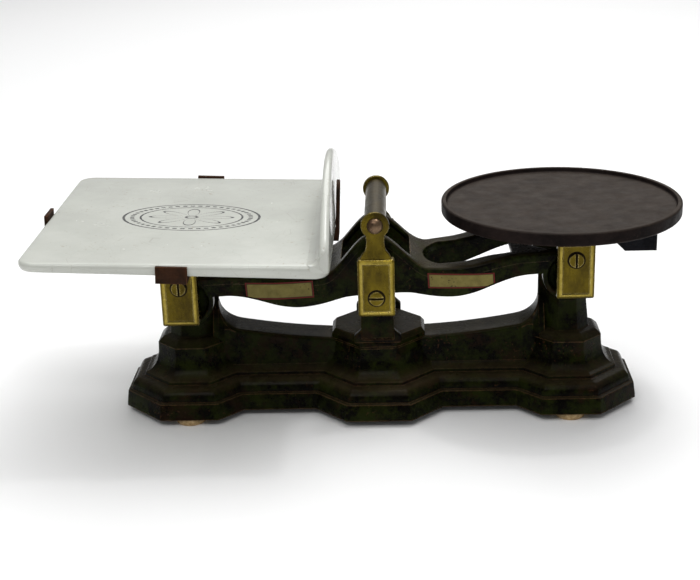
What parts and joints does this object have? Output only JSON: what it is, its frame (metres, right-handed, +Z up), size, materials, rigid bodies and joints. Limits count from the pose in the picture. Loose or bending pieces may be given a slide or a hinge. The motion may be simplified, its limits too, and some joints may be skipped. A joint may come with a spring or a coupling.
{
  "type": "platform scale",
  "caption": "Equal-arm counter scale: a forked beam on knife edges over a moulded cast base, a glazed goods plate with an upstand and a flat iron weight pan.",
  "frame": {"origin": "on the floor, under the middle of the whole scale's box; the centre knife edge is 15.3 mm to its +X side", "axes": "+X along the beam from the goods plate to the weight pan, +Y from front to back, +Z up"},
  "size_m": [0.6694, 0.321, 0.2777],
  "materials": {
    "enamel": "worn gloss enamel",
    "iron": "bare, dark and rusty",
    "brass": "polished, tarnished",
    "steel": "worn",
    "cork": "matt",
    "glaze": "gloss, crazed",
    "lead": "dull"
  },
  "bodies": {
    "base": {"base_casting": "enamel", "feet": "cork", "centre_bearings": "steel", "link_pin": "steel", "centre_cover_front": "brass", "centre_cover_back": "brass", "centre_cover_screws": "brass", "handle_rod": "steel", "handle_caps": "steel"},
    "beam": {"beam": "enamel", "centre_knife": "steel", "goods_knives": "steel", "weights_knives": "steel"},
    "link": {"check_link": "iron"},
    "goods_side": {"goods_carrier": "enamel", "goods_bearings": "steel", "goods_leg": "iron", "goods_leg_pin": "steel", "goods_cover_front": "brass", "goods_cover_back": "brass", "goods_cover_screws": "brass", "goods_cross": "iron", "goods_cross_bolt": "steel"},
    "weights_side": {"weights_carrier": "enamel", "weights_bearings": "steel", "weights_leg": "iron", "weights_leg_pin": "steel", "weights_cover_front": "brass", "weights_cover_back": "brass", "weights_cover_screws": "brass", "weights_cross": "iron", "weights_cross_bolt": "steel", "balance_box": "enamel", "balance_box_lid": "enamel", "balance_lead": "lead", "lid_screws": "steel"},
    "plate": {"goods_plate": "glaze"},
    "pan": {"weight_pan": "iron"}
  },
  "joints": [
    {"name": "beam_tilt", "type": "hinge", "parent": "base", "child": "beam", "pos_m": [0.0153, 0, 0.1545], "axis": [0, 1, 0], "range_deg": [0, 6.3]},
    {"name": "goods_upright", "type": "hinge", "parent": "beam", "child": "goods_side", "pos_m": [-0.18759, 0, 0.14333], "axis": [0, 1, 0], "range_deg": [-6.3, 0]},
    {"name": "weights_upright", "type": "hinge", "parent": "beam", "child": "weights_side", "pos_m": [0.2182, 0, 0.16567], "axis": [0, 1, 0], "range_deg": [-6.3, 0]},
    {"name": "link_tilt", "type": "hinge", "parent": "base", "child": "link", "pos_m": [0.0153, 0, 0.0295], "axis": [0, 1, 0], "range_deg": [0, 6.3]},
    {"name": "plate_lift", "type": "slide", "parent": "goods_side", "child": "plate", "axis": [0.0471, 0, 0.9989], "range_m": [0, 0.12]},
    {"name": "pan_lift", "type": "slide", "parent": "weights_side", "child": "pan", "axis": [0, 0, 1], "range_m": [0, 0.08]}
  ],
  "couplings": [
    {"joint": "goods_upright", "follows": "beam_tilt", "ratio": -1},
    {"joint": "weights_upright", "follows": "beam_tilt", "ratio": -1},
    {"joint": "link_tilt", "follows": "beam_tilt", "ratio": 1}
  ]
}
